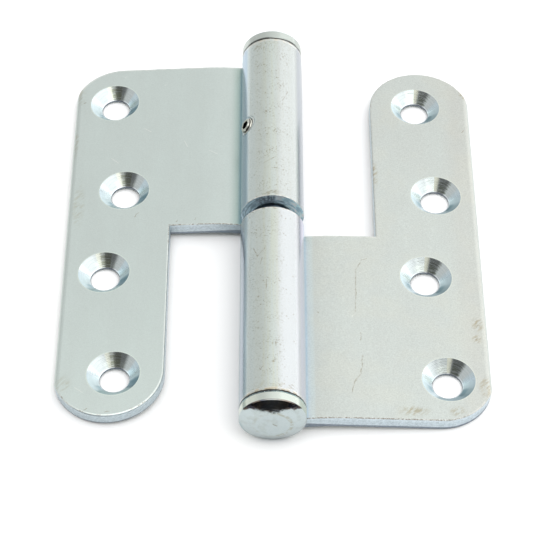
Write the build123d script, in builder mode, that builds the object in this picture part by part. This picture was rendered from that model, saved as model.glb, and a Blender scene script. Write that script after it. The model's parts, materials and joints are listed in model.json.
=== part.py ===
from build123d import *
from math import acos, asin, atan2, cos, degrees, hypot, radians, sin, sqrt
import os

os.makedirs("parts", exist_ok=True)

# A lift-off hinge in zinc-plated steel, laid open on a table with its screw faces up.
# Both leaves are one blank: a wide part that is rolled into a knuckle, and a narrower
# tongue that runs on beside the other leaf's knuckle. The pin is fixed in the lower
# leaf, and the upper leaf lifts off it along the hinge axis.
# X runs across the leaves, Y along the hinge axis towards the upper knuckle, Z is up.
# The origin is on the table, below the middle of the hinge. All sizes are millimetres.

# Sheet and knuckle
sheet = 3.0
bore_diameter = 9.0
knuckle_end = 55.0
knuckle_gap = 3.6
bore_chamfer = 0.4
curl_seam = 0.15

# Leaf, measured out from the hinge axis and along it
leaf_reach = 49.55
face_drop = 2.05
bend_start = 17.0
corner_radius = 12.2
tongue_width = 24.95
tongue_end = 53.5
blank_overrun = 0.3
rolled_edge_radius = 1.3
sheared_edge_radius = 0.5

# Screw holes, two to a column, measured in from the leaf's outer edge and wide end
hole_diameter = 6.8
countersink_diameter = 12.1
countersink_angle = 90.0
hole_pitch = 55.4
outer_column_inset = 9.8
inner_column_inset = 13.45
outer_column_start = 11.55
inner_column_start = 41.3

# Pin, end plug and ball
running_clearance = 0.05
disc_thickness = 2.4
disc_edge_radius = 0.12
disc_chamfer = 0.3
crown_radius = 14.5
crown_flat_radius = 4.2
plug_length = 8.0
shank_chamfer = 1.0
ball_diameter = 8.0
ball_clearance = 0.1
seat_depth = 0.8

# Lock screw, set slantwise through the flank of the upper knuckle
screw_diameter = 4.0
screw_length = 3.0
screw_from_end = 27.5
screw_angle = 37.0
screw_proud = 0.5
screw_chamfer = 0.45
socket_width = 2.0
socket_depth = 1.4
screw_hole_rim = 5.0
groove_depth = 1.0
groove_side_room = 0.4

# What follows from them
knuckle_radius = bore_diameter / 2 + sheet
gap_end = knuckle_gap / 2
pin_radius = bore_diameter / 2 - running_clearance
disc_face = knuckle_end + disc_thickness
crown_depth = sqrt(crown_radius**2 - knuckle_radius**2)
crown_top = disc_face + sqrt(crown_radius**2 - crown_flat_radius**2) - crown_depth
screw_height = knuckle_end - screw_from_end
axis_height = knuckle_radius
hinge_axis = Axis((0, 0, axis_height), (0, 1, 0))

# The sheet's middle line: flat, then a long reverse bend that runs tangent into the curl.
curl_radius = bore_diameter / 2 + sheet / 2
middle_drop = face_drop + sheet / 2
bend_radius = (bend_start**2 + middle_drop**2 - curl_radius**2) / (2 * (curl_radius - middle_drop))
bend_centre = (bend_start, -middle_drop - bend_radius)
bend_turn = degrees(asin(bend_start / (bend_radius + curl_radius)))
curl_start = -90 + bend_turn

# The curl stops where its outer corner meets the screw face of the sheet.
centre_distance = bend_radius + curl_radius
face_bend_radius = bend_radius + sheet / 2
meeting_angle = degrees(
    acos(
        (knuckle_radius**2 + centre_distance**2 - face_bend_radius**2)
        / (2 * knuckle_radius * centre_distance)
    )
)
curl_end = curl_start + meeting_angle + degrees(curl_seam / knuckle_radius)

# A leaf leans on the table with its outer edge, so it slopes down from the knuckle.
edge_centre_reach = leaf_reach - rolled_edge_radius
edge_centre_drop = face_drop + sheet - rolled_edge_radius
leaf_slope = degrees(
    asin((axis_height - rolled_edge_radius) / hypot(edge_centre_reach, edge_centre_drop))
    - atan2(edge_centre_drop, edge_centre_reach)
)


def out_from_axis(side):
    """Direction in the leaf from the hinge axis to the outer edge: side is -1 left, 1 right."""
    return Vector(side * cos(radians(leaf_slope)), 0, -sin(radians(leaf_slope)))


def off_the_face(side):
    """Direction square to the leaf, away from its screw face."""
    return Vector(side * sin(radians(leaf_slope)), 0, cos(radians(leaf_slope)))


def to_knuckle_end(side):
    """Direction along the hinge from the middle to the outer end of the leaf's own knuckle."""
    return Vector(0, -side, 0)


def rolled_leaf(side):
    """One leaf: the rolled bar section, blanked to the leaf's outline and drilled."""
    axis_point = Vector(0, 0, axis_height)
    section_plane = Plane(
        origin=axis_point - to_knuckle_end(side) * tongue_end,
        x_dir=out_from_axis(side),
        z_dir=to_knuckle_end(side),
    )
    face_plane = Plane(
        origin=axis_point - off_the_face(side) * face_drop,
        x_dir=to_knuckle_end(side),
        z_dir=off_the_face(side),
    )
    tongue_edge = leaf_reach - tongue_width
    tongue_radius = (tongue_width + blank_overrun) / 2
    blank_edge = leaf_reach + blank_overrun
    blank_inside = -knuckle_radius - sheet
    outer_column = leaf_reach - outer_column_inset
    inner_column = leaf_reach - inner_column_inset
    outer_first = knuckle_end - outer_column_start
    inner_first = knuckle_end - inner_column_start

    with BuildPart(face_plane) as leaf:
        # The bar's section across the hinge axis, with its square-cut curl
        with BuildSketch(section_plane) as section:
            with BuildLine():
                Line((leaf_reach, -middle_drop), (bend_start, -middle_drop))
                CenterArc(bend_centre, bend_radius, 90, bend_turn)
                CenterArc((0, 0), curl_radius, curl_start, curl_end - curl_start - 360)
            trace(line_width=sheet)
            fillet(section.vertices().sort_by(Axis.X)[-2:], rolled_edge_radius)
        extrude(amount=tongue_end + knuckle_end)

        # The outline it is blanked to, x towards the knuckle's outer end and y out from the axis.
        # It runs a little past the bar's rolled edge, so each sheared arc ends in a slight corner.
        with BuildSketch(face_plane):
            with BuildLine():
                Polyline(
                    (gap_end, tongue_edge),
                    (gap_end, blank_inside),
                    (knuckle_end, blank_inside),
                    (knuckle_end, blank_edge - corner_radius),
                )
                CenterArc((knuckle_end - corner_radius, blank_edge - corner_radius), corner_radius, 0, 90)
                Line((knuckle_end - corner_radius, blank_edge), (tongue_radius - tongue_end, blank_edge))
                CenterArc((tongue_radius - tongue_end, blank_edge - tongue_radius), tongue_radius, 90, 180)
                Line((tongue_radius - tongue_end, tongue_edge), (gap_end, tongue_edge))
            make_face()
        extrude(amount=2 * knuckle_radius, both=True, mode=Mode.INTERSECT)

        # Countersunk holes in a zigzag
        with Locations(
            (outer_first, outer_column),
            (inner_first, inner_column),
            (outer_first - hole_pitch, outer_column),
            (inner_first - hole_pitch, inner_column),
        ):
            CounterSinkHole(
                hole_diameter / 2,
                countersink_diameter / 2,
                depth=2 * sheet,
                counter_sink_angle=countersink_angle,
            )

        # Lead-in at the mouth of the knuckle, where the pin goes through
        with BuildSketch(Plane(origin=axis_point, x_dir=(1, 0, 0), z_dir=(0, 0, -side))):
            with BuildLine():
                Polyline(
                    (bore_diameter / 2 - bore_chamfer, gap_end - bore_chamfer),
                    (bore_diameter / 2 + 2 * bore_chamfer, gap_end - bore_chamfer),
                    (bore_diameter / 2 - bore_chamfer, gap_end + 2 * bore_chamfer),
                    close=True,
                )
            make_face()
        revolve(axis=hinge_axis, mode=Mode.SUBTRACT)

        # The blanking tool rolls the face over a little along the tongue's inner side
        tongue_middle = face_plane.from_local_coords((-tongue_end / 2, tongue_edge, 0))
        fillet(leaf.edges().filter_by(Axis.Y).sort_by_distance(tongue_middle)[0], sheared_edge_radius)
    return leaf.part


with BuildPart() as lower_leaf:
    add(rolled_leaf(1))
lower_leaf.part.label = "lower_leaf"
export_step(lower_leaf.part, "parts/lower_leaf.step")


# The lock screw's line runs out from the hinge axis through the upper knuckle's flank.
screw_tilt = radians(screw_angle - leaf_slope)
screw_line = Vector(-cos(screw_tilt), 0, sin(screw_tilt))
screw_foot = Vector(0, screw_height, axis_height)


def screw_plane(distance):
    """Plane square to the lock screw's line, this far out from the hinge axis."""
    return Plane(origin=screw_foot + screw_line * distance, x_dir=(0, 1, 0), z_dir=screw_line)


with BuildPart() as upper_leaf:
    add(rolled_leaf(-1))
    with Locations(screw_plane(knuckle_radius)):
        CounterSinkHole(
            screw_diameter / 2 + running_clearance,
            screw_hole_rim / 2,
            depth=knuckle_radius,
            counter_sink_angle=countersink_angle,
        )
upper_leaf.part.label = "upper_leaf"
export_step(upper_leaf.part, "parts/upper_leaf.step")


# The ball sits in a shallow seat in the plug above it and in the pin below it.
seat_radius = ball_diameter / 2 + ball_clearance
plug_tip = knuckle_end - plug_length
ball_height = plug_tip + seat_depth - seat_radius
pin_tip = ball_height + seat_depth - seat_radius
ball_centre = (0, ball_height, axis_height)
turning_plane = Plane(origin=(0, 0, axis_height))

# The pin and its disc are one turned piece: a tight shank in the lower knuckle, a running
# one above it, and a groove for the lock screw's tip. The disc's outer face is crowned, with
# a flat in the middle.
groove_half_width = screw_diameter / 2 + groove_side_room
groove_radius = pin_radius - groove_depth
shank_step = gap_end + 2 * bore_chamfer

with BuildPart() as hinge_pin:
    with BuildSketch(turning_plane):
        with BuildLine():
            RadiusArc((crown_flat_radius, -crown_top), (knuckle_radius, -disc_face), -crown_radius)
            Polyline(
                (knuckle_radius, -disc_face),
                (knuckle_radius, -knuckle_end),
                (bore_diameter / 2, -knuckle_end),
                (bore_diameter / 2, -shank_step),
                (pin_radius, -shank_step + running_clearance),
                (pin_radius, screw_height - groove_half_width),
                (groove_radius, screw_height - groove_half_width),
                (groove_radius, screw_height + groove_half_width),
                (pin_radius, screw_height + groove_half_width),
                (pin_radius, pin_tip - shank_chamfer),
                (pin_radius - shank_chamfer, pin_tip),
                (0, pin_tip),
                (0, -crown_top),
                (crown_flat_radius, -crown_top),
            )
        make_face()
    revolve(axis=hinge_axis)
    # The crown's arc is the widest circle, and the disc's two rims come next.
    disc_rims = hinge_pin.edges().filter_by(GeomType.CIRCLE).group_by(SortBy.RADIUS)[-2].sort_by(Axis.Y)
    fillet(disc_rims[0], disc_edge_radius)
    chamfer(disc_rims[-1], disc_chamfer)
    with Locations(ball_centre):
        Sphere(seat_radius, mode=Mode.SUBTRACT)
hinge_pin.part.label = "hinge_pin"
export_step(hinge_pin.part, "parts/hinge_pin.step")


with BuildPart() as top_plug:
    with BuildSketch(turning_plane):
        with BuildLine():
            RadiusArc((crown_flat_radius, crown_top), (knuckle_radius, disc_face), crown_radius)
            Polyline(
                (knuckle_radius, disc_face),
                (knuckle_radius, knuckle_end),
                (bore_diameter / 2, knuckle_end),
                (bore_diameter / 2, plug_tip + shank_chamfer),
                (bore_diameter / 2 - shank_chamfer, plug_tip),
                (0, plug_tip),
                (0, crown_top),
                (crown_flat_radius, crown_top),
            )
        make_face()
    revolve(axis=hinge_axis)
    disc_rims = top_plug.edges().filter_by(GeomType.CIRCLE).group_by(SortBy.RADIUS)[-2].sort_by(Axis.Y)
    fillet(disc_rims[-1], disc_edge_radius)
    chamfer(disc_rims[0], disc_chamfer)
    with Locations(ball_centre):
        Sphere(seat_radius, mode=Mode.SUBTRACT)
top_plug.part.label = "top_plug"
export_step(top_plug.part, "parts/top_plug.step")


with BuildPart() as thrust_ball:
    with Locations(ball_centre):
        Sphere(ball_diameter / 2)
thrust_ball.part.label = "thrust_ball"
export_step(thrust_ball.part, "parts/thrust_ball.step")


# The lock screw is backed out, its tip clear of the pin's groove.
screw_face = screw_plane(knuckle_radius + screw_proud)

with BuildPart() as lock_screw:
    with BuildSketch(screw_face):
        Circle(screw_diameter / 2)
    extrude(amount=-screw_length)
    chamfer(lock_screw.edges().filter_by(GeomType.CIRCLE), screw_chamfer)
    with BuildSketch(screw_face):
        RegularPolygon(socket_width / 2, 6, major_radius=False)
    extrude(amount=-socket_depth, mode=Mode.SUBTRACT)
lock_screw.part.label = "lock_screw"
export_step(lock_screw.part, "parts/lock_screw.step")
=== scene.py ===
import json
from math import cos, hypot, pi, radians, sin, tau

import bmesh
import bpy
from mathutils import Matrix, Vector


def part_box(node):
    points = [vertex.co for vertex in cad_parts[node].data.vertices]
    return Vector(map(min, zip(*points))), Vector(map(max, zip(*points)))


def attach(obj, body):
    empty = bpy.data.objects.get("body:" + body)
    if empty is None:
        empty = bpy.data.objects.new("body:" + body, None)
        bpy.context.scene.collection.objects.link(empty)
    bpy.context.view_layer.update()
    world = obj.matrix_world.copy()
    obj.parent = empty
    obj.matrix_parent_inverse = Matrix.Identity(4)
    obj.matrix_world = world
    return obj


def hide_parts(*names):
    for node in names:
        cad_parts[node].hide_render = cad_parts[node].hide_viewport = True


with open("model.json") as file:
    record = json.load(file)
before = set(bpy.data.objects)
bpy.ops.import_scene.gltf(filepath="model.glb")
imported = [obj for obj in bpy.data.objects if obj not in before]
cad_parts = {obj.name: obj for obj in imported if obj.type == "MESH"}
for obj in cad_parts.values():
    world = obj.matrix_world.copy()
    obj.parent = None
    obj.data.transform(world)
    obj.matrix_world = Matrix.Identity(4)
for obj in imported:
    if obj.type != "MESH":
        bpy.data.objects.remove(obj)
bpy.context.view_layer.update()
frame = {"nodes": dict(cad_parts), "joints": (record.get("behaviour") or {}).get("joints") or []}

# A zinc-plated lift-off hinge lies open on a white table, with its screw faces up.
# X runs across the leaves, Y along the hinge axis, Z is up. The scene is in metres, and the
# finishes work in millimetres.
MM = 0.001

# Sizes of the hinge that the finishes follow, in millimetres. The pin's disc is as wide as the
# knuckle and lies on the table, so the axis runs at half the height of its top.
AXIS_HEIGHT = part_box("hinge_pin")[1].z / MM / 2
KNUCKLE_RADIUS = AXIS_HEIGHT
KNUCKLE_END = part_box("lower_leaf")[0].y / -MM
DISC_EDGE = KNUCKLE_END + 2.4
LEAF_SLOPE = radians(2.916)
LEAF_REACH = 49.55
BEND_REACH = 10.6
FACE_DROP = 2.05
SHEET = 3.0
CORNER_RADIUS = 12.2
TONGUE_WIDTH = 24.95
TONGUE_END = 53.5
BLANK_OVERRUN = 0.3
GAP_END = 1.8
RIM_RADIUS = 6.05
BORE_RADIUS = 3.4
CROWN_FLAT_RADIUS = 4.2
# Hole centres as (towards the own knuckle's end, out from the hinge axis)
HOLES = [(43.45, 39.75), (13.7, 36.1), (-11.95, 39.75), (-41.7, 36.1)]
# Rings that the countersinking tool left, to the millimetre
RING_RATE = 4.2
# A mark on the crown of each disc, as (x, up from the axis)
CROWN_MARK = [(0.1, 0.25), (0.55, -0.1), (0.9, -0.35)]
# Half the widths of the lines that marks leave
BROWN_LINE = 0.17
PALE_LINE = 0.13
CROWN_LINE = 0.24
# The upper knuckle's left tints turn away past this y, by degrees to the millimetre, up to a most
SKEW_START = 16
SKEW_RATE = 0.12
SKEW_MOST = 3

# Lock screw
SCREW_DIAMETER = 4.0
SCREW_LENGTH = 3.0
SCREW_CHAMFER = 0.45
THREAD_PITCH = 0.7
THREAD_DEPTH = 0.3
THREAD_STEEPNESS = 1.3
SOCKET_WIDTH = 2.0
SOCKET_DEPTH = 1.4
DRILL_TIP_DEPTH = 0.3
DRILL_TIP_RADIUS = 0.05
CUP_RADIUS = 0.9
CUP_DEPTH = 0.4
SCREW_SIDES = 48
SCREW_LEVELS = 60
SCREW_SHARP_ANGLE = radians(35)

# Camera: where the photograph was taken from, and how it was held
CAMERA_PLACE = Vector((-0.000044, -0.316792, 0.370335))
CAMERA_PITCH = radians(50.228)
CAMERA_YAW = radians(-0.098)
CAMERA_ROLL = radians(-0.181)
CAMERA_LENS = 135.47

# The table's front edge, and how far it reaches on its other sides, in metres
TABLE_FRONT = -0.117
TABLE_REACH = 1.5
# Where the table that metal mirrors turns dark towards its front, in millimetres
MIRROR_FRONT = -98

# Levels of the room's light, where 1 is white
WALL_LIGHT = 0.84
BOX_FOOT_LIGHT = 0.42
LEFT_FRONT_LIGHT = 0.18
LOW_FRONT_LIGHT = 0.05
LAMP_LIGHT = 1.9
BELOW_LIGHT = 0.04

# Roughness of each metal before its patterns
SHEET_ROUGHNESS = 0.34
TURNED_ROUGHNESS = 0.2
BALL_ROUGHNESS = 0.06
SCREW_ROUGHNESS = 0.12

# Colours of the metal, of what lies on it, and of painted light and shade
PLATING_DARK = (0.55, 0.605, 0.575)
PLATING_PALE = (0.61, 0.665, 0.635)
TURNED_DARK = (0.53, 0.60, 0.585)
TURNED_PALE = (0.58, 0.645, 0.625)
BALL_DARK = (0.50, 0.51, 0.52)
BALL_PALE = (0.58, 0.59, 0.60)
SCREW_DARK = (0.62, 0.62, 0.55)
SCREW_PALE = (0.74, 0.74, 0.67)
SHEARED = (0.70, 0.775, 0.81)
TORN = (0.56, 0.63, 0.66)
NICKED = (0.21, 0.18, 0.14)
GAP_FACE_DARK = (0.42, 0.54, 0.60)
GAP_FACE_PALE = (0.80, 0.94, 1.0)
GAP_FACE_WORKED = (0.3, 0.35, 0.4)
SHANK_SHADE = (0.12, 0.13, 0.15)
CUT_ZINC = (0.57, 0.62, 0.62)
BURR = (0.8, 0.85, 0.88)
BORE_SHADE = (0.11, 0.13, 0.16)
PALE_WEAR_AND_HIGHLIGHT = (0.80, 0.80, 0.76)
REFLECTION_AND_TARNISH_BLUE = (0.09, 0.09, 0.13)
REFLECTION_AND_TARNISH_BROWN = (0.27, 0.22, 0.18)
RUST = (0.30, 0.22, 0.14)
GRIME_AND_SHADE = (0.05, 0.045, 0.04)

# Painted reflections and highlights on a countersink's cone, some of them of each leaf's own
CONE_FRONT_REFLECTION = (0.46, 0.56, 0.60)
CONE_LEFT_HIGHLIGHT = (0.72, 0.78, 0.80)
CONE_CREAM_REFLECTION = (0.80, 0.81, 0.66)
UPPER_CONE_REFLECTIONS = {
    "foremost": (0.34, 0.46, 0.47),
    "front left": (0.74, 0.83, 0.87),
    "right": (0.58, 0.70, 0.75),
}
LOWER_CONE_REFLECTIONS = {
    "foremost": (0.33, 0.43, 0.47),
    "front left": (0.70, 0.79, 0.84),
    "right": (0.56, 0.66, 0.7),
}

# Tints of red, green and blue that darken or warm what they lie on
UPPER_FACE_TINT = (0.9607, 0.976, 0.9811)
LOWER_FACE_TINT = (1.052, 1.0257, 1.0257)
STAIN_TINT = (0.76, 0.68, 0.56)
BROWN_TINT = (0.55, 0.46, 0.36)
WORM_TINT = (0.66, 0.62, 0.55)
DIRT_TINT = (0.5, 0.44, 0.36)

# Painted light and shade round each knuckle, as tints of its plating: the angle from its top, in
# degrees, where a tint starts and where it is full
UPPER_KNUCKLE_SHADING = [
    (-26, -40, (0.98, 1.0, 1.03)),
    (-46, -58, (0.73, 0.83, 0.99)),
    (-66, -74, (0.79, 0.88, 0.91)),
    (50, 62, (0.84, 0.85, 0.93)),
]
LOWER_KNUCKLE_SHADING = [
    (-26, -40, (0.98, 1.0, 1.03)),
    (-46, -56, (0.86, 0.92, 1.04)),
    (-56, -64, (0.94, 0.88, 0.89)),
    (-70, -79, (0.72, 0.81, 0.79)),
    (42, 56, (1.1, 1.05, 1.1)),
    (54, 62, (1.02, 1.02, 1.12)),
    (70, 80, (0.89, 1.01, 1.06)),
]
# The same painted light and shade on the bend beside it, by how far out from the axis, in millimetres
UPPER_BEND_SHADING = [(10.8, 8.4, (0.80, 0.88, 0.85)), (8.6, 7.6, (0.7, 0.82, 0.92))]
LOWER_BEND_SHADING = [(10.0, 9.2, (1.04, 1.08, 1.11)), (8.3, 7.6, (0.78, 0.88, 0.95))]

# Marks on each leaf's face as (towards the own knuckle's end, out), in millimetres, and on its
# knuckle as (y, angle from the top); stains are a centre and a reach, the rest are lines
UPPER_MARKS = {
    "face stains": [
        ((46.5, 48.5), (4.5, 1.6)),
        ((30.0, 48.8), (7.0, 0.9)),
        ((-44.3, 47.2), (3.0, 2.2)),
        ((9.0, 47.0), (9.0, 2.0)),
    ],
    "knuckle stains": [
        ((52.3, -30.0), (1.3, 12.0)),
        ((45.7, -28.0), (0.4, 3.0)),
        ((29.5, -11.0), (0.4, 4.0)),
        ((2.8, -2.0), (1.3, 24.0)),
    ],
    "face brown": [
        [(45.9, 48.3), (45.5, 48.7)],
        [(47.4, 49.2), (47.0, 49.6)],
        [(44.1, 47.3), (43.7, 47.6)],
        [(6.4, 32.3), (4.9, 33.1)],
        [(3.5, 22.9), (3.1, 23.2)],
        [(4.0, 18.5), (3.6, 18.8)],
        [(-51.2, 41.6), (-51.6, 42.3)],
        [(-52.3, 36.5), (-52.5, 37.4)],
        [(-51.4, 31.0), (-51.8, 31.8)],
        [(-43.0, 24.4), (-43.7, 24.6)],
    ],
    "face pale": [
        [(34.2, 31.9), (33.0, 30.2)],
        [(24.4, 39.7), (22.7, 37.8)],
        [(29.4, 21.8), (27.5, 21.0)],
        [(26.0, 15.6), (24.8, 13.6)],
        [(-45.4, 44.6), (-46.8, 42.8)],
        [(-46.6, 38.2), (-47.6, 36.9)],
        [(52.7, 37.3), (52.4, 37.6)],
        [(49.3, 27.0), (49.0, 27.3)],
    ],
    "knuckle brown": [
        [(29.4, -10.1), (28.9, -9.0)],
        [(36.8, 30.9), (33.6, 20.5)],
        [(23.4, 7.1), (22.5, 2.3)],
        [(14.1, 5.1), (12.2, -17.6)],
        [(2.4, -30.0), (2.0, -28.0)],
    ],
}
LOWER_MARKS = {
    "face stains": [
        ((-46.6, 48.6), (2.4, 1.6)),
        ((-18.1, 25.0), (6.0, 1.2)),
        ((27.6, 47.3), (2.8, 1.8)),
        ((31.8, 46.9), (1.6, 1.6)),
        ((45.4, 48.0), (4.0, 1.8)),
        ((52.5, 31.5), (1.8, 4.6)),
        ((52.2, 41.2), (1.9, 2.6)),
    ],
    "knuckle stains": [
        ((-53.0, 34.8), (0.8, 8.0)),
        ((-2.6, -38.0), (0.7, 6.0)),
        ((-2.2, 4.0), (0.5, 5.0)),
        ((-28.2, -25.2), (0.4, 3.0)),
        ((-34.5, -22.8), (0.4, 3.0)),
        ((-34.6, -7.7), (0.4, 3.0)),
        ((-47.0, 1.4), (0.5, 4.0)),
        ((-41.7, 5.9), (1.5, 2.0)),
    ],
    "face brown": [
        [(8.8, 22.4), (9.2, 21.2), (11.7, 19.7), (24.6, 19.2)],
        [(31.0, 20.3), (33.0, 20.2)],
        [(37.3, 20.6), (42.4, 20.0), (44.7, 18.6), (47.8, 18.0)],
        [(-33.4, 47.3), (-34.0, 47.9)],
        [(24.9, 10.5), (25.2, 10.8)],
        [(28.2, 47.0), (27.6, 47.6)],
        [(32.0, 46.6), (31.6, 47.2)],
    ],
    "face pale": [
        [(25.9, 18.6), (26.4, 18.4)],
        [(5.9, 13.6), (5.6, 13.9)],
        [(13.2, 20.5), (13.0, 20.8)],
    ],
    "knuckle brown": [
        [(-13.4, -35.4), (-16.2, -27.1), (-14.3, -13.6)],
        [(-8.2, -41.0), (-8.8, -39.0)],
        [(-16.9, -17.9), (-19.0, -22.4)],
        [(-23.6, -10.7), (-26.8, -10.7)],
        [(-15.5, -58.4), (-16.1, -58.4)],
        [(-38.0, -50.0), (-38.8, -46.0)],
        [(-48.4, -23.0), (-49.0, -21.0), (-48.2, -18.0)],
    ],
}


class Shade:
    """An output of a shader node. Arithmetic on it adds Math nodes."""

    def __init__(self, tree, socket):
        self.tree = tree
        self.socket = socket

    def maths(self, operation, *values):
        return add_node(self.tree, "ShaderNodeMath", {"operation": operation}, dict(enumerate(values)))

    def __add__(self, other):
        return self.maths("ADD", self, other)

    def __radd__(self, other):
        return self.maths("ADD", other, self)

    def __sub__(self, other):
        return self.maths("SUBTRACT", self, other)

    def __rsub__(self, other):
        return self.maths("SUBTRACT", other, self)

    def __mul__(self, other):
        return self.maths("MULTIPLY", self, other)

    def __rmul__(self, other):
        return self.maths("MULTIPLY", other, self)

    def __truediv__(self, other):
        return self.maths("DIVIDE", self, other)

    def __pow__(self, other):
        return self.maths("POWER", self, other)

    def __abs__(self):
        return self.maths("ABSOLUTE", self)

    def least(self, other):
        return self.maths("MINIMUM", self, other)

    def most(self, other):
        return self.maths("MAXIMUM", self, other)

    def hypot(self, other):
        return (self * self + other * other) ** 0.5

    def step(self, start, end):
        """0 before start and 1 after end, smooth between them. A step down has start above end."""
        values = {"Value": self, "From Min": start, "From Max": end}
        return add_node(self.tree, "ShaderNodeMapRange", {"interpolation_type": "SMOOTHSTEP"}, values)

    def band(self, low, high, soft):
        """1 from low to high, fading out over the soft width at both ends."""
        return self.step(low - soft, low) * self.step(high + soft, high)


def add_node(tree, kind, settings, values, output=0):
    """A node of a type, its settings first, then the values or links of its sockets."""
    node = tree.nodes.new(kind)
    for name, setting in settings.items():
        setattr(node, name, setting)
    for name, value in values.items():
        if isinstance(value, Shade):
            tree.links.new(value.socket, node.inputs[name])
        else:
            node.inputs[name].default_value = value
    return Shade(tree, node.outputs[output])


def mixed(factor, first, second):
    """A colour between two, either of them a plain colour or a node's."""
    as_colour = [c if isinstance(c, Shade) else (*c, 1) for c in (first, second)]
    settings = {"data_type": "RGBA"}
    values = {0: factor, 6: as_colour[0], 7: as_colour[1]}
    return add_node(factor.tree, "ShaderNodeMix", settings, values, output=2)


def tinted(colour, mask, tint):
    """A colour times a tint of red, green and blue where the mask is 1."""
    settings = {"data_type": "RGBA", "blend_type": "MULTIPLY"}
    return add_node(mask.tree, "ShaderNodeMix", settings, {0: mask, 6: colour, 7: (*tint, 1)}, output=2)


def between(factor, first, second):
    """A number between two, the second of them where the factor is 1."""
    return first + factor * (second - first)


def grey(level):
    """A plain colour or tint that is the same in red, green and blue."""
    return (level, level, level)


def split(vector):
    """The three numbers of a vector."""
    return [add_node(vector.tree, "ShaderNodeSeparateXYZ", {}, {0: vector}, output=i) for i in range(3)]


def joined(x, y, z=0.0):
    """A vector of three numbers, at least the first of them a node's."""
    return add_node(x.tree, "ShaderNodeCombineXYZ", {}, {0: x, 1: y, 2: z})


def noise(vector, scale, detail=2.0, roughness=0.5):
    """Noise around 0.5 at a number of bumps per millimetre."""
    values = {"Vector": vector, "Scale": scale, "Detail": detail, "Roughness": roughness}
    return add_node(vector.tree, "ShaderNodeTexNoise", {}, values)


def pits(vector, scale, share, radius):
    """Round specks of mixed sizes in a share of the cells of a pattern."""
    values = {"Vector": vector, "Scale": scale}
    from_middle = add_node(vector.tree, "ShaderNodeTexVoronoi", {}, values)
    chance = split(add_node(vector.tree, "ShaderNodeTexVoronoi", {}, values, output="Color"))[0]
    size = (chance - (1 - share)).most(0) * (radius / share)
    return (size - from_middle).step(0.0, 0.12)


def spot(u, v, centre, reach):
    """1 in the middle of a mark, fading to 0 at its reach."""
    far = ((u - centre[0]) / reach[0]).hypot((v - centre[1]) / reach[1])
    return far.step(1.0, 0.25)


def stroke(u, v, start, end, width):
    """1 along a line between two points, 0 beyond its width, with round ends."""
    length = hypot(end[0] - start[0], end[1] - start[1])
    ahead_u = (end[0] - start[0]) / length
    ahead_v = (end[1] - start[1]) / length
    run = (u - start[0]) * ahead_u + (v - start[1]) * ahead_v
    aside = (v - start[1]) * ahead_u - (u - start[0]) * ahead_v
    past = run - run.most(0).least(length)
    return past.hypot(aside).step(width, width * 0.3)


def new_finish(name):
    """A material with a metal shader, and its tree and shader."""
    material = bpy.data.materials.new(name)
    material.use_nodes = True
    tree = material.node_tree
    shader = tree.nodes["Principled BSDF"]
    shader.inputs["Metallic"].default_value = 1.0
    return material, tree, shader


def finish_with(shader, colour, roughness, relief):
    """Joins a colour, a roughness and a relief in millimetres to a shader."""
    tree = colour.tree
    tree.links.new(colour.socket, shader.inputs["Base Color"])
    tree.links.new(roughness.socket, shader.inputs["Roughness"])
    normal = add_node(tree, "ShaderNodeBump", {}, {"Height": relief, "Distance": MM, "Strength": 1.0})
    tree.links.new(normal.socket, shader.inputs["Normal"])


def screw_line():
    """The lock screw's middle, in millimetres, and the direction in which it is backed out."""
    low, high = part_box("lock_screw")
    joint = next(j for j in frame["joints"] if j["name"] == "lock_travel")
    return (low + high) / (2 * MM), Vector(joint["axis"]).normalized()


def along_screw(place):
    """How far a point lies out along the lock screw from its middle, and how far aside of its axis."""
    middle, axis = screw_line()
    away = [coordinate - start for coordinate, start in zip(split(place), middle)]
    ahead = away[0] * axis.x + away[1] * axis.y + away[2] * axis.z
    return ahead, (away[0].hypot(away[1]).hypot(away[2]) ** 2 - ahead * ahead).most(0) ** 0.5


def place_of(tree):
    """The point of the surface at rest, in millimetres from the origin."""
    point = add_node(tree, "ShaderNodeTexCoord", {}, {}, output="Object")
    return add_node(tree, "ShaderNodeVectorMath", {"operation": "SCALE"}, {"Vector": point, "Scale": 1 / MM})


def facing_of(tree):
    """The direction that the surface faces at rest."""
    return split(add_node(tree, "ShaderNodeTexCoord", {}, {}, output="Normal"))


def outline_distance(along, out):
    """How far in from the blank's outline a point of the screw face lies, in millimetres."""
    blank_edge = LEAF_REACH + BLANK_OVERRUN
    past_corner = (along - (KNUCKLE_END - CORNER_RADIUS)).most(0)
    corner = CORNER_RADIUS - past_corner.hypot((out - (blank_edge - CORNER_RADIUS)).most(0))
    tongue_radius = (TONGUE_WIDTH + BLANK_OVERRUN) / 2
    past_tongue = ((tongue_radius - TONGUE_END) - along).most(0)
    tongue = tongue_radius - past_tongue.hypot(out - (blank_edge - tongue_radius))
    return (along - GAP_END).most(tongue).least(corner)


def strongest(marks):
    """The strongest of several marks at each point."""
    total = marks[0]
    for mark in marks[1:]:
        total = total.most(mark)
    return total


def trail(u, v, points, width):
    """1 along a fine line through a row of points, 0 beyond its width."""
    return strongest([stroke(u, v, start, end, width) for start, end in zip(points, points[1:])])


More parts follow.
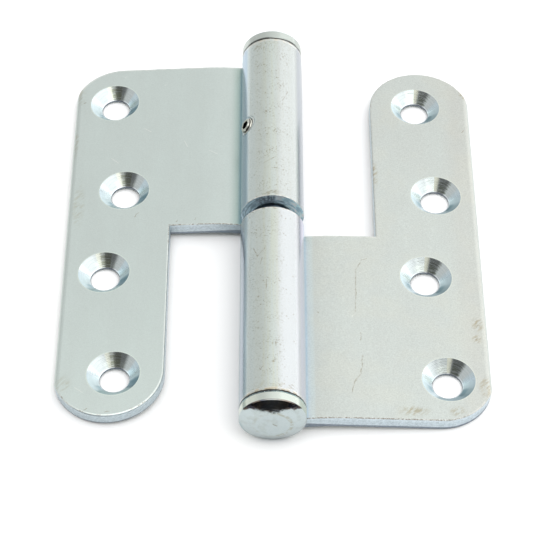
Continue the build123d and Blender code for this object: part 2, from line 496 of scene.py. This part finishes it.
class LeafPoint:
    """Where a point of a leaf lies on it and which way the surface faces there, with the leaf at rest.

    The side is -1 for the upper leaf, which lies to the left, and 1 for the lower one. Along runs
    from the middle of the hinge towards the knuckle's end, out runs from the axis over the screw
    face, and the angle is in degrees from the knuckle's top, growing to the right.
    """

    def __init__(self, tree, side):
        self.upper = side < 0
        self.place = place_of(tree)
        x, self.y, z = split(self.place)
        self.face_x, self.face_y, face_z = facing_of(tree)
        up = z - AXIS_HEIGHT
        self.along = self.y * -side
        self.out = x * (side * cos(LEAF_SLOPE)) - up * sin(LEAF_SLOPE)
        above_axis = x * (side * sin(LEAF_SLOPE)) + up * cos(LEAF_SLOPE)
        self.depth = -FACE_DROP - above_axis
        facing_off = self.face_x * (side * sin(LEAF_SLOPE)) + face_z * cos(LEAF_SLOPE)
        self.from_axis = x.hypot(up)
        self.angle = x.maths("ARCTAN2", x, up) * (180 / pi)
        self.from_edge = outline_distance(self.along, self.out)
        holes = [(self.along - along).hypot(self.out - out) for along, out in HOLES]
        self.from_hole = holes[0]
        for distance in holes[1:]:
            self.from_hole = self.from_hole.least(distance)

        # The parts of the leaf, each 1 on its own surface
        beside = self.from_axis.step(KNUCKLE_RADIUS + 0.1, KNUCKLE_RADIUS + 0.6)
        sunk = self.from_hole.step(RIM_RADIUS + 0.03, RIM_RADIUS - 0.01)
        self.countersink = sunk * self.depth.step(SHEET - 0.1, SHEET - 0.2)
        end_cut = abs(self.face_y).step(0.5, 0.7)
        upright = abs(facing_off).step(0.6, 0.4)
        side_cut = upright * self.out.step(LEAF_REACH - 0.1, LEAF_REACH - 0.4) * beside
        self.cut = side_cut.most(end_cut) * (1 - self.countersink)
        self.gap_face = end_cut * (1 - beside)
        self.plain = (1 - self.cut) * (1 - self.countersink)
        self.knuckle = (1 - beside) * self.plain
        bent = self.out.step(BEND_REACH + 0.4, BEND_REACH) * facing_off.step(0.1, 0.3)
        self.bend = bent * beside * self.plain
        self.face = facing_off.step(0.6, 0.9) * beside * self.plain

        # Patterns that several finishes share
        self.grain = noise(self.place, 2.2, 3.0)
        self.cloud = noise(self.place, 0.13, 3.0)
        self.ragged = noise(self.place, 0.9, 4.0, 0.65)
        self.patches = noise(self.place, 0.28, 3.0, 0.6)


def paint_face(leaf, colour):
    """The screw face: satin with a peel and a sandy grain, and slow changes of tint over it."""
    face, along, out = leaf.face, leaf.along, leaf.out
    peel = noise(leaf.place, 2.7, 3.0, 0.6).step(0.3, 0.7) * face
    sand = noise(leaf.place, 3.8, 1.0).step(0.3, 0.7) * face
    if leaf.upper:
        colour = tinted(colour, face, UPPER_FACE_TINT)
        colour = tinted(colour, peel, grey(0.96))
        colour = tinted(colour, sand, grey(0.955))
        colour = tinted(colour, along.step(0, -55) * face, (1.06, 1.065, 1.06))
    else:
        colour = tinted(colour, face, LOWER_FACE_TINT)
        colour = tinted(colour, peel, (0.925, 0.925, 0.92))
        colour = tinted(colour, sand, grey(0.9))
        colour = tinted(colour, along.step(-5, -40) * face, (0.97, 0.965, 0.965))
        colour = tinted(colour, leaf.cloud.step(0.42, 0.66) * face, (1.012, 1.0, 0.98))
        colour = tinted(colour, out.step(41, 46) * face, (0.99, 0.965, 0.955))
    smears = noise(joined(along * 0.05, out * 0.2), 1.0, 3.0).step(0.4, 0.65)
    return tinted(colour, smears * face, (1.015, 1.02, 1.02))


def paint_knuckle(leaf, colour):
    """The tints of painted light and shade round the knuckle, the streaks and specks on it, and its rims."""
    upper, knuckle, angle, patches = leaf.upper, leaf.knuckle, leaf.angle, leaf.patches
    tint_angle = angle
    if upper:
        # Its painted shading on the left turns away a little towards the far end
        skew = ((leaf.y - SKEW_START) * SKEW_RATE).most(0).least(SKEW_MOST)
        tint_angle = angle + skew * angle.step(0, -20)
    # Painted light and shade by the angle round the knuckle
    for start, full, tint in UPPER_KNUCKLE_SHADING if upper else LOWER_KNUCKLE_SHADING:
        colour = tinted(colour, tint_angle.step(start, full) * knuckle, tint)
    # Painted reflection and shade on the bend beside the knuckle
    for start, full, tint in UPPER_BEND_SHADING if upper else LOWER_BEND_SHADING:
        colour = tinted(colour, leaf.out.step(start, full) * leaf.bend, tint)

    # Faint streaks along the axis, a dull scurf, and fine worm-like lines where the roll was worked
    streaks = noise(joined(angle * 0.16, leaf.y * 0.04), 1.0, 3.0)
    top = angle.band(-45, 40 if upper else 4, 8) * knuckle
    colour = tinted(colour, top * streaks.step(0.42, 0.62), (0.99, 0.987, 0.975))
    scurf = noise(leaf.place, 2.4, 4.0, 0.7).step(0.5, 0.66) * angle.band(-56, 16, 12) * knuckle
    colour = tinted(colour, scurf, (0.95, 0.94, 0.91) if upper else (0.90, 0.89, 0.86))
    patchy = (0.35 + patches.step(0.4, 0.6)) * knuckle
    worms = abs(noise(leaf.place, 1.6, 1.0) - 0.5).step(0.07, 0.03)
    worms = worms * noise(leaf.place, 2.6, 1.0).step(0.5, 0.58) * patchy
    if upper:
        worms = worms * angle.band(-26, 30, 14) * 0.55
    else:
        worms = worms * angle.band(-44, 12, 12) * patches.step(0.42, 0.6) * 0.45
    colour = tinted(colour, worms, WORM_TINT)
    flecks = pits(leaf.place, 1.9, 0.25, 0.5) * angle.band(-46, 40, 12) * patchy
    colour = tinted(colour, flecks * 0.33, BROWN_TINT)

    # Painted light and shade on the right flank, plum-coloured, and olive streaks on top
    lit = angle.step(0, 18) * knuckle
    colour = tinted(colour, lit, (0.955, 0.925, 0.955) if upper else (1.03, 0.985, 1.05))
    olive = angle.band(-14, 8, 8) * knuckle * streaks.step(0.4, 0.6)
    colour = tinted(colour, olive * (0.5 if upper else 0.8), (1.03, 1.01, 0.95))

    # The rims: pale with wear and a painted highlight, with dirt at the gap and in the joint of the
    # disc, and stains beside it
    from_end = KNUCKLE_END - leaf.along
    rubbed_and_highlit = leaf.ragged.step(0.36, 0.6) * knuckle
    mouth = leaf.along.step(GAP_END + 0.5, GAP_END + 0.2) * 0.8
    dirt = noise(leaf.place, 1.4, 4.0, 0.7).step(0.5, 0.6)
    colour = tinted(colour, mouth * knuckle * dirt, DIRT_TINT)
    rim = from_end.band(0.5, 0.95, 0.2)
    colour = mixed(rim.most(mouth) * rubbed_and_highlit * 0.75, colour, PALE_WEAR_AND_HIGHLIGHT)
    rust = from_end.step(3.4, 1.0) * angle.band(-30, 26, 16) * leaf.ragged.step(0.44, 0.7)
    colour = tinted(colour, rust * knuckle * (0.5 if upper else 0.8), (0.86, 0.8, 0.68))
    fringe = from_end.band(0.5, 0.75, 0.15) * angle.band(-50, 40, 12) * leaf.ragged.step(0.38, 0.55)
    colour = tinted(colour, fringe * knuckle * (0.3 if upper else 0.8), (0.72, 0.64, 0.5))
    if upper:
        # A pale ring of wear and painted highlight at the rim, and a dull one, round the lock screw's
        # axis. They show at its hole, and again where the axis leaves the knuckle on the far side.
        from_thread = along_screw(leaf.place)[1] - SCREW_DIAMETER / 2
        colour = mixed(from_thread.band(0.1, 0.45, 0.15) * knuckle * 0.4, colour, PALE_WEAR_AND_HIGHLIGHT)
        dull = from_thread.band(0.6, 0.7, 0.14) * leaf.ragged.step(0.36, 0.5)
        colour = tinted(colour, dull * knuckle, (0.6, 0.66, 0.68))
    joint = (from_end - leaf.ragged * 0.4).step(0.28, 0.1) * knuckle
    return mixed(joint, colour, GRIME_AND_SHADE)


def paint_cuts(leaf, colour):
    """The cut walls, the knuckle's face in the gap, and the face beside them, pale with wear and a
    painted highlight, and nicked.
    """
    depth, along, out = leaf.depth, leaf.along, leaf.out

    # The walls, granular where the sheet tore, with painted shade along the foot
    torn = noise(joined(along, out, depth * 1.6), 1.5, 4.0, 0.6)
    wall = mixed(torn.step(0.35, 0.68), SHEARED, TORN)
    middle = (depth + torn * 0.8).step(0.9, 1.3) * depth.step(2.4, 2.0)
    wall = tinted(wall, middle * 0.5, (0.86, 0.87, 0.88))
    wall = tinted(wall, depth.step(SHEET - 0.75, SHEET - 0.45), (0.4, 0.41, 0.45))
    wall = tinted(wall, noise(leaf.place, 2.8, 3.0, 0.6).step(0.4, 0.62), (0.88, 0.9, 0.91))
    # Painted shade on the upper leaf's walls by the knuckle and far end, painted light on the lower's front
    if leaf.upper:
        beside_knuckle = out.step(16, 9) * along.step(8, 5)
        wall = tinted(wall, beside_knuckle, (0.84, 0.87, 0.88))
        wall = tinted(wall, along.step(-20, -35), (0.88, 0.9, 0.9))
    else:
        front = along.step(KNUCKLE_END - 12, KNUCKLE_END - 6)
        wall = tinted(wall, front, (1.04, 1.05, 1.06))
    colour = mixed(leaf.cut, colour, wall)

    # The knuckle's face in the gap, turned, with painted light on its right, a painted highlight at
    # the rim, painted shade further in, and dark where it was worked on
    from_rim = KNUCKLE_RADIUS - leaf.from_axis
    turned = noise(joined(leaf.angle * 0.05, leaf.from_axis * 2.2), 1.0, 3.0)
    gap_face = mixed(turned.step(0.38, 0.62), GAP_FACE_DARK, GAP_FACE_PALE)
    gap_face = tinted(gap_face, leaf.angle.step(20, 60), grey(1.3))
    bright = from_rim.band(0.35, 1.3, 0.4) * leaf.angle.band(-16, 30, 12)
    gap_face = tinted(gap_face, bright, (1.45, 1.4, 1.35))
    dim = from_rim.step(1.6, 2.5) * leaf.angle.band(-30, 0, 8)
    gap_face = tinted(gap_face, dim, (0.75, 0.76, 0.78))
    speckle = noise(leaf.place, 1.6, 4.0, 0.7)
    worked = leaf.angle.band(-26, 0, 14) * speckle.step(0.42, 0.54)
    gap_face = mixed(worked.most(speckle.step(0.58, 0.66) * 0.5), gap_face, GAP_FACE_WORKED)
    colour = mixed(leaf.gap_face, colour, gap_face)

    # The face beside the cuts: a thin pale line of wear and painted highlight, and small brown nicks
    # where the burr is rough
    rubbed_and_highlit = leaf.from_edge.band(0.12, 0.34, 0.12) * leaf.face * leaf.ragged.step(0.36, 0.55)
    colour = mixed(rubbed_and_highlit * 0.45, colour, PALE_WEAR_AND_HIGHLIGHT)
    if leaf.upper:
        rough = along.step(5, 4) * along.step(-4, -3)
    else:
        rough = along.step(KNUCKLE_END - 3, KNUCKLE_END - 2)
    tongue_tip = along.step(15 - TONGUE_END, 10 - TONGUE_END) * leaf.ragged.step(0.5, 0.6)
    nick = noise(leaf.place, 2.6, 4.0, 0.7).step(0.46, 0.52) * leaf.from_edge.step(0.46, 0.26)
    nick = nick * leaf.face * (rough * out.step(46, 40)).most(tongue_tip)
    return mixed(nick * 0.85, colour, NICKED), torn, nick


def paint_countersinks(leaf, colour):
    """The countersinks, turned, with painted reflections: bright on the left, dark in front, olive at
    the back, with rings.
    """
    upper, from_hole = leaf.upper, leaf.from_hole

    # Where a point lies on its cone: across is 1 at the right and uphill is 1 at the back
    across = leaf.face_x * (-1 / cos(pi / 4))
    uphill = leaf.face_y * (-1 / cos(pi / 4))
    # Painted reflections of the room, by which way the cone faces
    shades = UPPER_CONE_REFLECTIONS if upper else LOWER_CONE_REFLECTIONS
    cone = mixed(uphill.step(0.1, -0.6), CUT_ZINC, CONE_FRONT_REFLECTION)
    cone = mixed(uphill.step(-0.5, -0.75), cone, shades["foremost"])
    cone = mixed(across.step(-0.8, -0.9), cone, CONE_LEFT_HIGHLIGHT)
    cone = mixed(across.step(-0.45, -0.7) * uphill.step(0.2, 0.0), cone, shades["front left"])
    cone = mixed(across.step(0.82, 0.92), cone, shades["right"])

    # Painted reflections: dark patches at the front, and a painted highlight on the foot at the back
    foot = from_hole.step(5.2, 4.2)
    if upper:
        front_right = across.band(0.84, 1.0, 0.12) * uphill.step(-0.02, -0.2)
        cone = tinted(cone, front_right, (0.36, 0.47, 0.52))
        front_left = uphill.band(-0.75, -0.55, 0.12) * across.step(-0.5, -0.65)
    else:
        front_right = across.band(0.62, 0.92, 0.15) * uphill.step(-0.15, -0.4)
        cone = tinted(cone, front_right * (0.3 + foot * 0.7), (0.5, 0.6, 0.64))
        front_left = uphill.band(-0.5, -0.2, 0.12) * across.step(-0.8, -0.87)
    cone = tinted(cone, front_left * foot, (0.68, 0.77, 0.8))
    cone = tinted(cone, foot * uphill.step(0.78, 0.9), (1.25, 1.25, 1.2))

    # Painted reflections at the back, olive, pale and cream, broken up by the tool's rings
    rings = noise(joined(leaf.face_x * 1.6, leaf.face_y * 1.6, from_hole * RING_RATE), 1.0, 4.0, 0.65)
    if upper:
        olive = across.band(-0.14, 0.3, 0.07) * uphill.step(0.55, 0.75)
        cone = tinted(cone, olive * rings.step(0.36, 0.56), (0.62, 0.61, 0.5))
        cream = across.band(-0.28, -0.2, 0.1) * 0.6
    else:
        olive = across.band(0.26, 0.6, 0.1) * uphill.step(0.5, 0.7)
        cone = tinted(cone, olive * rings.step(0.44, 0.6), (0.5, 0.52, 0.44))
        back = uphill.step(0.6, 0.8)
        cone = tinted(cone, across.band(-0.4, 0.05, 0.12) * back, (1.3, 1.3, 1.28))
        dull = across.band(-0.4, -0.1, 0.12) * rings.step(0.56, 0.66)
        cone = tinted(cone, dull * back, (0.6, 0.6, 0.55))
        cream = across.band(0.0, 0.1, 0.1) * 0.78
    cone = mixed(cream * uphill.step(0.6, 0.75), cone, CONE_CREAM_REFLECTION)
    cone = tinted(cone, rings.step(0.4, 0.66), (0.9, 0.92, 0.92))

    # The burr at the bore, the bore itself, and the pale line round the rim
    burr = from_hole.band(BORE_RADIUS + 0.06, BORE_RADIUS + 0.2, 0.06)
    cone = mixed(burr * 0.7, cone, BURR)
    cone = mixed(from_hole.step(BORE_RADIUS + 0.06, BORE_RADIUS + 0.02), cone, BORE_SHADE)
    colour = mixed(leaf.countersink, colour, cone)
    rim = from_hole.band(RIM_RADIUS, RIM_RADIUS + 0.22, 0.06) * leaf.face
    return tinted(colour, rim, (1.1, 1.1, 1.07)), rings


def paint_marks(leaf, colour):
    """The stains, specks and scratches that each leaf has picked up."""
    marks = UPPER_MARKS if leaf.upper else LOWER_MARKS
    along, out = leaf.along, leaf.out
    arc = KNUCKLE_RADIUS * pi / 180
    drift = (noise(leaf.place, 0.8) - 0.5) * 0.7

    # Stains: smeared aslant on the face, ragged on the knuckle
    stained = [spot(along, out, centre, reach) for centre, reach in marks["face stains"]]
    stained = strongest(stained) * leaf.face
    smeared = noise(joined((out - along) * 0.32, (out + along) * 1.1), 1.0, 4.0, 0.62).step(0.42, 0.6)
    colour = tinted(colour, stained * smeared * (0.5 if leaf.upper else 1.0), STAIN_TINT)
    turned = [spot(leaf.y, leaf.angle, centre, reach) for centre, reach in marks["knuckle stains"]]
    turned = strongest(turned) * leaf.knuckle
    colour = tinted(colour, turned * leaf.ragged.step(0.4, 0.6) * 0.6, BROWN_TINT)

    # Scratches, brown ones that wander and straight pale ones
    brown = strongest([trail(along + drift, out + drift, line, BROWN_LINE) for line in marks["face brown"]])
    lines = []
    for line in marks["knuckle brown"]:
        points = [(y, angle * arc) for y, angle in line]
        lines.append(trail(leaf.y + drift * 0.5, leaf.angle * arc + drift * 0.5, points, BROWN_LINE))
    brown = (brown * leaf.face * 0.55).most(strongest(lines) * leaf.knuckle * 0.5)
    brown = brown * (0.3 + leaf.ragged.step(0.4, 0.6))
    colour = tinted(colour, brown, BROWN_TINT)
    pale = strongest([trail(along, out, line, PALE_LINE) for line in marks["face pale"]]) * leaf.face
    colour = mixed(pale * 0.42, colour, PALE_WEAR_AND_HIGHLIGHT)

    # Specks of rust, most of them in the stains
    specks = pits(leaf.place, 1.4, 0.14, 0.2) * (0.16 + 0.6 * stained.most(turned))
    specks = specks * (0.5 + leaf.patches.step(0.45, 0.65)) * leaf.plain
    return mixed(specks, colour, RUST), specks, brown.most(pale)


def plated_sheet(name, side):
    """The leaf's finish: satin faces, a glossier knuckle, turned countersinks and sheared walls."""
    material, tree, shader = new_finish(name)
    leaf = LeafPoint(tree, side)
    colour = mixed(leaf.grain * 0.5 + leaf.cloud * 0.5, PLATING_DARK, PLATING_PALE)
    colour = paint_face(leaf, colour)
    colour = paint_knuckle(leaf, colour)
    colour, torn, nick = paint_cuts(leaf, colour)
    colour, rings = paint_countersinks(leaf, colour)
    colour, specks, scratched = paint_marks(leaf, colour)

    # The countersinks are glossiest at the back and roughest in front
    cut, sunk = leaf.cut, leaf.countersink
    roughness = SHEET_ROUGHNESS - 0.1 * leaf.knuckle + 0.06 * cut + 0.2 * leaf.gap_face
    roughness = roughness - (0.17 - 0.32 * leaf.face_y.step(-0.22, 0.12)) * sunk
    roughness = roughness + 0.08 * (leaf.grain - 0.5)

    # Relief: satin all over, rings in the countersinks, grain on the cuts, and the marks sunk in
    turns = (leaf.from_hole * RING_RATE + noise(leaf.place, 0.9) * 0.8) * tau
    lathe = turns.maths("SINE", turns) * 0.0012 + leaf.grain * 0.004 + rings * 0.006
    satin = (noise(leaf.place, 6.0) * 0.0015 + leaf.cloud * 0.02) * leaf.plain
    relief = leaf.grain * 0.004 + satin + sunk * lathe + cut * torn * 0.03
    relief = relief - scratched * 0.006 - nick * 0.03 - specks * 0.01
    finish_with(shader, colour, roughness, relief)
    return material


def plated_turning(name):
    """The finish of the pin, its disc and the plug: zinc over turned steel, tarnished in places, with
    painted shade and a painted reflection.
    """
    material, tree, shader = new_finish(name)
    place = place_of(tree)
    x, y, z = split(place)
    up = z - AXIS_HEIGHT
    from_axis = x.hypot(up)
    past_edge = abs(y) - DISC_EDGE
    crown = past_edge.step(-0.05, 0.1)
    grain = noise(place, 2.2, 3.0)
    ragged = noise(place, 0.9, 4.0, 0.65)
    swirl = noise(place, 0.45, 3.0)
    colour = mixed(grain, TURNED_DARK, TURNED_PALE)

    # The discs' sides, with painted light and shade: the lower one warm, with a painted highlight on
    # the left, and the upper one dull
    side = past_edge.band(-2.3, -0.3, 0.1) * from_axis.step(KNUCKLE_RADIUS - 1, KNUCKLE_RADIUS - 0.5)
    lower_side = side * y.step(1, -1)
    colour = tinted(colour, lower_side, (1.07, 1.04, 0.98))
    colour = tinted(colour, lower_side * x.step(-2.5, -4.5), (1.18, 1.16, 1.12))
    colour = tinted(colour, side * y.step(-1, 1), (0.93, 0.90, 0.87))

    # The crowns: darkened all over as painted shade, mottled, with a ring round the flat middle and a
    # mark in it
    colour = tinted(colour, crown, (0.91, 0.92, 0.955))
    colour = tinted(colour, crown * ragged.step(0.4, 0.7) * 0.5, (0.93, 0.95, 0.97))
    ring = from_axis.band(CROWN_FLAT_RADIUS - 0.2, CROWN_FLAT_RADIUS + 0.1, 0.4) * crown
    colour = tinted(colour, ring * ragged.step(0.38, 0.6) * (0.5 + x.step(-1, 3)) * 0.7, STAIN_TINT)
    colour = tinted(colour, swirl.step(0.5, 0.62) * crown, (0.93, 0.92, 0.9))
    mark = trail(x + (ragged - 0.5) * 0.5, up, CROWN_MARK, CROWN_LINE) * crown
    colour = tinted(colour, mark * 0.8, BROWN_TINT)

    # A painted dark reflection, mottled and tarnished, on the lower crown above a wavy line, and darker
    # at its two ends
    height = up + (ragged - 0.5) * 1.6 + x.band(-0.9, 1.3, 1.2) * 0.7 + x * x * 0.035
    reflection_and_tarnish = height.step(5.25, 5.5) * (0.55 + abs(x).step(0.5, 3.5) * 0.42)
    reflection_and_tarnish = reflection_and_tarnish * y.step(0.3 - DISC_EDGE, 0.2 - DISC_EDGE)
    stain = mixed(noise(place, 0.9, 3.0, 0.6).step(0.42, 0.58), REFLECTION_AND_TARNISH_BLUE, REFLECTION_AND_TARNISH_BROWN)
    stain = tinted(stain, abs(x).step(3.6, 5.0), (0.3, 0.28, 0.27))
    colour = mixed(reflection_and_tarnish, colour, stain)

    # Painted shade: the discs are dull low on the left and darkest at the foot, and the shank is dark
    # in the gap
    outer = past_edge.step(-1.4, -0.4)
    low_left = from_axis.step(KNUCKLE_RADIUS - 0.9, KNUCKLE_RADIUS - 0.2)
    low_left = low_left * (up * 0.8 + x * 0.5).step(-3.5, -5.0)
    colour = tinted(colour, low_left * outer, (0.72, 0.8, 0.82))
    foot = up.step(1.3 - KNUCKLE_RADIUS, 0.4 - KNUCKLE_RADIUS)
    colour = tinted(colour, foot * outer, (0.55, 0.66, 0.69))
    in_gap = abs(y).step(GAP_END + 0.4, GAP_END) * from_axis.step(KNUCKLE_RADIUS, KNUCKLE_RADIUS - 2)
    colour = mixed(in_gap, colour, SHANK_SHADE)

    roughness = TURNED_ROUGHNESS + 0.08 * (grain - 0.5) - 0.07 * crown
    relief = grain * 0.003 + (ragged * 0.012 + swirl * 0.05) * crown
    finish_with(shader, colour, roughness, relief)
    return material


def ball_steel(name):
    """Bright ball steel, with the faint bloom of grease."""
    material, tree, shader = new_finish(name)
    bloom = noise(place_of(tree), 0.5, 3.0)
    colour = mixed(bloom, BALL_DARK, BALL_PALE)
    finish_with(shader, colour, BALL_ROUGHNESS + 0.1 * bloom, bloom * 0.002)
    return material


def screw_steel(name):
    """The lock screw's steel: bright lands, with dirt and painted shade down in the thread and the
    socket.
    """
    material, tree, shader = new_finish(name)
    place = place_of(tree)
    ahead, aside = along_screw(place)
    bloom = noise(place, 3.0, 3.0)
    colour = mixed(bloom, SCREW_DARK, SCREW_PALE)
    crest, half = SCREW_DIAMETER / 2, SCREW_LENGTH / 2
    thread = aside.step(crest - 0.06, crest - 0.2) * abs(ahead).step(half - 0.1, half - 0.2)

    # The socket is painted dark inside as dirt and shade, on the side away from the gap
    away = split(place)[1] - screw_line()[0].y
    socket = aside.step(SOCKET_WIDTH / 2 + 0.12, SOCKET_WIDTH / 2) * away.step(-0.5, 0.1)
    socket = socket * ahead.step(0, 0.1) * ahead.step(half, half - 0.3)
    colour = mixed(thread.most(socket) * 0.9, colour, GRIME_AND_SHADE)
    finish_with(shader, colour, SCREW_ROUGHNESS + 0.1 * bloom, bloom * 0.004)
    return material


def ring_of(mesh, height, radius_at):
    """A closed ring of points round the Z axis, its radius given for each angle."""
    angles = [tau * i / SCREW_SIDES for i in range(SCREW_SIDES)]
    return [mesh.verts.new((radius_at(a) * cos(a), radius_at(a) * sin(a), height)) for a in angles]


def make_lock_screw(finish):
    """The socket set screw with its thread and cup point, in place of its plain solid."""
    half = SCREW_LENGTH / 2
    crest = SCREW_DIAMETER / 2

    def thread_radius(height):
        def radius_at(angle):
            turn = (height / THREAD_PITCH - angle / tau) % 1.0
            groove = max(0.0, 1.0 - abs(2 * turn - 1) * THREAD_STEEPNESS)
            from_end = half - abs(height)
            return min(crest - THREAD_DEPTH * groove, crest - SCREW_CHAMFER + from_end)
        return radius_at

    def socket_radius(angle):
        to_flat = (angle + pi / 6) % (pi / 3) - pi / 6
        return SOCKET_WIDTH / 2 / cos(to_flat)

    def tip_radius(angle):
        return DRILL_TIP_RADIUS

    def cup_radius(angle):
        return CUP_RADIUS

    # The rings run from the middle of the cup, over its edge, up the thread and down the socket
    mesh = bmesh.new()
    rings = [ring_of(mesh, CUP_DEPTH - half, tip_radius), ring_of(mesh, -half, cup_radius)]
    for i in range(SCREW_LEVELS + 1):
        height = -half + SCREW_LENGTH * i / SCREW_LEVELS
        rings.append(ring_of(mesh, height, thread_radius(height)))
    rings.append(ring_of(mesh, half, socket_radius))
    rings.append(ring_of(mesh, half - SOCKET_DEPTH, socket_radius))
    rings.append(ring_of(mesh, half - SOCKET_DEPTH - DRILL_TIP_DEPTH, tip_radius))
    for lower, upper in zip(rings, rings[1:]):
        for i in range(SCREW_SIDES):
            j = (i + 1) % SCREW_SIDES
            mesh.faces.new((lower[i], lower[j], upper[j], upper[i]))
    mesh.faces.new(list(reversed(rings[0])))
    mesh.faces.new(rings[-1])
    bmesh.ops.recalc_face_normals(mesh, faces=mesh.faces)

    middle, axis = screw_line()
    lie = axis.to_track_quat("Z", "Y").to_matrix().to_4x4()
    mesh.transform(Matrix.Translation(middle * MM) @ lie @ Matrix.Scale(MM, 4))
    data = bpy.data.meshes.new("set_screw")
    mesh.to_mesh(data)
    mesh.free()
    data.polygons.foreach_set("use_smooth", [True] * len(data.polygons))
    data.set_sharp_from_angle(angle=SCREW_SHARP_ANGLE)
    data.materials.append(finish)
    screw = bpy.data.objects.new("set_screw", data)
    bpy.context.collection.objects.link(screw)
    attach(screw, "screw")
    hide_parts("lock_screw")


def dress_nodes():
    """Gives each solid its finish."""
    finishes = {
        "upper_leaf": plated_sheet("plated_upper_leaf", -1),
        "lower_leaf": plated_sheet("plated_lower_leaf", 1),
        "hinge_pin": plated_turning("plated_turning"),
        "thrust_ball": ball_steel("ball_steel"),
        "lock_screw": screw_steel("screw_steel"),
    }
    finishes["top_plug"] = finishes["hinge_pin"]
    for name, finish in finishes.items():
        node = frame["nodes"][name]
        for slot in node.material_slots:
            slot.material = finish
    return finishes


def make_table():
    """The white table. Its front edge lies out of view, and metal mirrors the dark room before it."""
    mesh = bpy.data.meshes.new("table")
    corners = [
        (-TABLE_REACH, TABLE_FRONT, 0),
        (TABLE_REACH, TABLE_FRONT, 0),
        (TABLE_REACH, TABLE_REACH, 0),
        (-TABLE_REACH, TABLE_REACH, 0),
    ]
    mesh.from_pydata(corners, [], [(0, 1, 2, 3)])
    table = bpy.data.objects.new("table", mesh)
    bpy.context.collection.objects.link(table)
    material = bpy.data.materials.new("table_white")
    material.use_nodes = True
    tree = material.node_tree
    tree.nodes.remove(tree.nodes["Principled BSDF"])
    place = place_of(tree)
    x, y = split(place)[:2]

    # What metal mirrors: the table is paler to the right, and dark along its ragged front
    mirrored = mixed(x.step(-110, -50), grey(0.72), grey(0.92))
    mirrored = mixed(x.step(60, 160), mirrored, grey(1.37))
    ragged = y + noise(place, 0.35, 3.0) * 8
    mirrored = mixed(ragged.step(MIRROR_FRONT + 4, MIRROR_FRONT), mirrored, grey(0.02))

    # What the camera sees is close to white, and all other light meets a middle grey
    glossy_ray = add_node(tree, "ShaderNodeLightPath", {}, {}, output="Is Glossy Ray")
    camera_ray = add_node(tree, "ShaderNodeLightPath", {}, {}, output="Is Camera Ray")
    colour = mixed(glossy_ray, grey(0.5), mirrored)
    colour = mixed(camera_ray, colour, mixed(x.step(-10, -30), grey(1.02), grey(0.98)))
    diffuse = add_node(tree, "ShaderNodeBsdfDiffuse", {}, {"Color": colour})
    tree.links.new(diffuse.socket, tree.nodes["Material Output"].inputs["Surface"])
    mesh.materials.append(material)


def make_room():
    """The light: a white box to the right, a paler wall behind, a grey one to the left, dark in front."""
    world = bpy.data.worlds.new("studio")
    bpy.context.scene.world = world
    world.use_nodes = True
    tree = world.node_tree
    x, y, z = split(add_node(tree, "ShaderNodeTexCoord", {}, {}, output="Generated"))

    # The wall is paler behind, most of all to the right and high up
    behind = y.step(-0.3, 0.3)
    light = WALL_LIGHT + 0.32 * behind * x.step(-0.55, 0.35)
    light = light * (0.98 + 0.12 * behind * z.step(0.7, 0.84))

    # The box grows brighter upwards, and is a little dimmer towards the back
    height = z + 0.9 * y
    box_light = BOX_FOOT_LIGHT + 0.9 * height.step(-0.16, 0.05) + 0.4 * height.step(0.03, 0.22)
    box_light = box_light * (1 - 0.18 * y.step(0.3, 0.65))
    light = between((x - 0.16 * y).step(0.14, 0.32), light, box_light)

    # The room in front is dark to the left and darkest low down
    left_front = (x - 1.9 * y).step(-0.3, 0.25) * x.step(0.0, -0.18) * y.step(0.0, -0.15)
    light = between(left_front, light, LEFT_FRONT_LIGHT)
    light = between(y.step(-0.35, -0.6) * z.step(0.3, 0.14), light, LOW_FRONT_LIGHT)

    # The lamp overhead, and the dark below the table
    lamp = LAMP_LIGHT + 0.5 * y.step(0.0, -0.3)
    light = between(z.step(0.75, 0.85) * y.step(0.35, 0.1), light, lamp)
    light = between(z.step(0.02, -0.02), light, BELOW_LIGHT)

    # The camera sees plain white
    light = between(add_node(tree, "ShaderNodeLightPath", {}, {}, output="Is Camera Ray"), light, 1.0)
    background = tree.nodes["Background"]
    background.inputs["Color"].default_value = (1, 1, 1, 1)
    tree.links.new(light.socket, background.inputs["Strength"])


def make_camera():
    """The camera, as the photograph was taken."""
    ahead = Vector((
        sin(CAMERA_YAW) * cos(CAMERA_PITCH),
        cos(CAMERA_YAW) * cos(CAMERA_PITCH),
        -sin(CAMERA_PITCH),
    ))
    level = Vector((cos(CAMERA_YAW), -sin(CAMERA_YAW), 0))
    upward = level.cross(ahead)
    right = level * cos(CAMERA_ROLL) + upward * sin(CAMERA_ROLL)
    top = upward * cos(CAMERA_ROLL) - level * sin(CAMERA_ROLL)
    data = bpy.data.cameras.new("camera")
    data.lens = CAMERA_LENS
    camera = bpy.data.objects.new("camera", data)
    bpy.context.collection.objects.link(camera)
    turn = Matrix((right, top, -ahead)).transposed().to_4x4()
    camera.matrix_world = Matrix.Translation(CAMERA_PLACE) @ turn
    bpy.context.scene.camera = camera


bpy.context.scene.view_settings.view_transform = "Standard"
finishes = dress_nodes()
make_lock_screw(finishes["lock_screw"])
make_table()
make_room()
make_camera()
